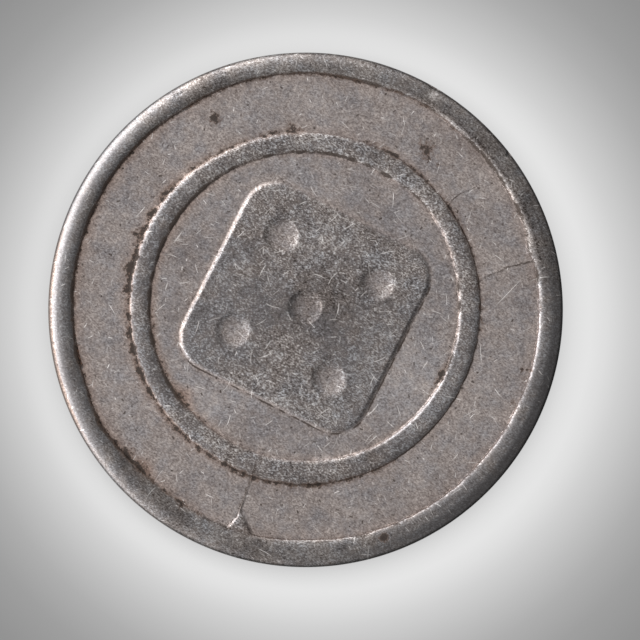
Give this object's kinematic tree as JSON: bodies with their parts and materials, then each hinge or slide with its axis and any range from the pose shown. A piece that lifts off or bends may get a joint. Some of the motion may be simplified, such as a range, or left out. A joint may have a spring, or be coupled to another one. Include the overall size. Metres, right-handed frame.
{
  "type": "game token",
  "caption": "Round coin-like game token of nickel-clad steel, with a raised rim, a raised ring and a five-spot dice face on each side.",
  "frame": {"origin": "on the token's axis, in the plane of the back rim, where the token rests", "axes": "+Z along the token's axis out of the front face; +Y towards the top of the struck design; +X to its right"},
  "size_m": [0.025, 0.025, 0.002],
  "materials": {
    "nickel_sheet": "struck nickel, dulled and scratched by handling, with dirt at the foot of the relief",
    "core_steel": "bare punched steel, dark and lightly rusted"
  },
  "bodies": {
    "root": {"front_cladding": "nickel_sheet", "steel_core": "core_steel", "back_cladding": "nickel_sheet"}
  },
  "joints": []
}
